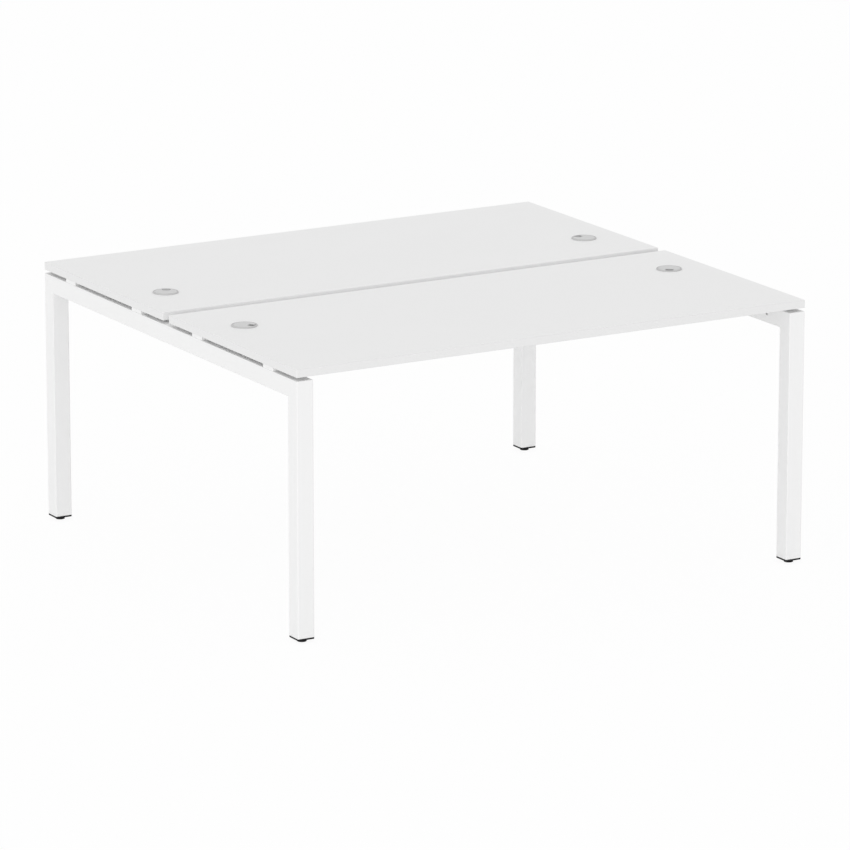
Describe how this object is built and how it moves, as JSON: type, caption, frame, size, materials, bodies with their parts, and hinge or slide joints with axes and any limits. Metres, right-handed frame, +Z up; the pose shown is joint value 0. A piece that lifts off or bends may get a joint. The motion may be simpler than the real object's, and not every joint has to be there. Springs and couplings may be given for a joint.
{
  "type": "benching desk",
  "caption": "Back-to-back benching desk: white tops with cable grommets, held by spacers on welded square-tube end frames with levelling feet.",
  "frame": {"origin": "on the floor, under the middle of the desk", "axes": "+X along the desk to the right, -Y to the front user, +Z up"},
  "size_m": [1.6, 1.475, 0.7535],
  "materials": {
    "white_melamine": "matte white melamine face on chipboard",
    "white_edging": "white ABS edging",
    "white_powder_coat": "fine-textured white powder coat",
    "grey_plastic": "light grey moulded plastic",
    "mid_grey_plastic": "mid grey moulded plastic",
    "black_plastic": "black moulded plastic",
    "zinc_steel": "bright zinc plating"
  },
  "bodies": {
    "frame": {"board_front": "white_melamine", "edge_band_front": "white_edging", "beam_front": "white_powder_coat", "board_rear": "white_melamine", "edge_band_rear": "white_edging", "beam_rear": "white_powder_coat", "crossbar_left": "white_powder_coat", "crossbar_right": "white_powder_coat", "leg_front_left": "white_powder_coat", "beam_plate_front_left": "white_powder_coat", "leg_plug_front_left": "black_plastic", "grommet_liner_front_left": "mid_grey_plastic", "spacer_front_left_outer": "white_powder_coat", "top_screw_front_left_outer": "zinc_steel", "beam_bolt_front_left_outer": "zinc_steel", "spacer_front_left_inner": "white_powder_coat", "top_screw_front_left_inner": "zinc_steel", "beam_bolt_front_left_inner": "zinc_steel", "leg_front_right": "white_powder_coat", "beam_plate_front_right": "white_powder_coat", "leg_plug_front_right": "black_plastic", "grommet_liner_front_right": "mid_grey_plastic", "spacer_front_right_outer": "white_powder_coat", "top_screw_front_right_outer": "zinc_steel", "beam_bolt_front_right_outer": "zinc_steel", "spacer_front_right_inner": "white_powder_coat", "top_screw_front_right_inner": "zinc_steel", "beam_bolt_front_right_inner": "zinc_steel", "leg_rear_left": "white_powder_coat", "beam_plate_rear_left": "white_powder_coat", "leg_plug_rear_left": "black_plastic", "grommet_liner_rear_left": "mid_grey_plastic", "spacer_rear_left_outer": "white_powder_coat", "top_screw_rear_left_outer": "zinc_steel", "beam_bolt_rear_left_outer": "zinc_steel", "spacer_rear_left_inner": "white_powder_coat", "top_screw_rear_left_inner": "zinc_steel", "beam_bolt_rear_left_inner": "zinc_steel", "leg_rear_right": "white_powder_coat", "beam_plate_rear_right": "white_powder_coat", "leg_plug_rear_right": "black_plastic", "grommet_liner_rear_right": "mid_grey_plastic", "spacer_rear_right_outer": "white_powder_coat", "top_screw_rear_right_outer": "zinc_steel", "beam_bolt_rear_right_outer": "zinc_steel", "spacer_rear_right_inner": "white_powder_coat", "top_screw_rear_right_inner": "zinc_steel", "beam_bolt_rear_right_inner": "zinc_steel"},
    "cap_front_left": {"grommet_cap_front_left": "grey_plastic"},
    "stud_front_left": {"levelling_stud_front_left": "zinc_steel"},
    "pad_front_left": {"foot_pad_front_left": "black_plastic"},
    "cap_front_right": {"grommet_cap_front_right": "grey_plastic"},
    "stud_front_right": {"levelling_stud_front_right": "zinc_steel"},
    "pad_front_right": {"foot_pad_front_right": "black_plastic"},
    "cap_rear_left": {"grommet_cap_rear_left": "grey_plastic"},
    "stud_rear_left": {"levelling_stud_rear_left": "zinc_steel"},
    "pad_rear_left": {"foot_pad_rear_left": "black_plastic"},
    "cap_rear_right": {"grommet_cap_rear_right": "grey_plastic"},
    "stud_rear_right": {"levelling_stud_rear_right": "zinc_steel"},
    "pad_rear_right": {"foot_pad_rear_right": "black_plastic"}
  },
  "joints": [
    {"name": "cap_turn_front_left", "type": "hinge", "parent": "frame", "child": "cap_front_left", "pos_m": [-0.68, -0.2285, 0.75], "axis": [0, 0, 1], "continuous": true},
    {"name": "cap_turn_front_right", "type": "hinge", "parent": "frame", "child": "cap_front_right", "pos_m": [0.68, -0.2285, 0.75], "axis": [0, 0, 1], "continuous": true},
    {"name": "cap_turn_rear_left", "type": "hinge", "parent": "frame", "child": "cap_rear_left", "pos_m": [-0.68, 0.2285, 0.75], "axis": [0, 0, 1], "continuous": true},
    {"name": "cap_turn_rear_right", "type": "hinge", "parent": "frame", "child": "cap_rear_right", "pos_m": [0.68, 0.2285, 0.75], "axis": [0, 0, 1], "continuous": true},
    {"name": "stud_travel_front_left", "type": "slide", "parent": "frame", "child": "stud_front_left", "axis": [0, 0, -1], "range_m": [0, 0.015]},
    {"name": "pad_turn_front_left", "type": "hinge", "parent": "stud_front_left", "child": "pad_front_left", "pos_m": [-0.775, -0.7125, 0.004], "axis": [0, 0, -1], "range_deg": [0, 4320]},
    {"name": "stud_travel_front_right", "type": "slide", "parent": "frame", "child": "stud_front_right", "axis": [0, 0, -1], "range_m": [0, 0.015]},
    {"name": "pad_turn_front_right", "type": "hinge", "parent": "stud_front_right", "child": "pad_front_right", "pos_m": [0.775, -0.7125, 0.004], "axis": [0, 0, -1], "range_deg": [0, 4320]},
    {"name": "stud_travel_rear_left", "type": "slide", "parent": "frame", "child": "stud_rear_left", "axis": [0, 0, -1], "range_m": [0, 0.015]},
    {"name": "pad_turn_rear_left", "type": "hinge", "parent": "stud_rear_left", "child": "pad_rear_left", "pos_m": [-0.775, 0.7125, 0.004], "axis": [0, 0, -1], "range_deg": [0, 4320]},
    {"name": "stud_travel_rear_right", "type": "slide", "parent": "frame", "child": "stud_rear_right", "axis": [0, 0, -1], "range_m": [0, 0.015]},
    {"name": "pad_turn_rear_right", "type": "hinge", "parent": "stud_rear_right", "child": "pad_rear_right", "pos_m": [0.775, 0.7125, 0.004], "axis": [0, 0, -1], "range_deg": [0, 4320]}
  ],
  "couplings": [
    {"joint": "pad_turn_front_left", "follows": "stud_travel_front_left", "rad_per_m": 5026.6},
    {"joint": "pad_turn_front_right", "follows": "stud_travel_front_right", "rad_per_m": 5026.6},
    {"joint": "pad_turn_rear_left", "follows": "stud_travel_rear_left", "rad_per_m": 5026.6},
    {"joint": "pad_turn_rear_right", "follows": "stud_travel_rear_right", "rad_per_m": 5026.6}
  ]
}
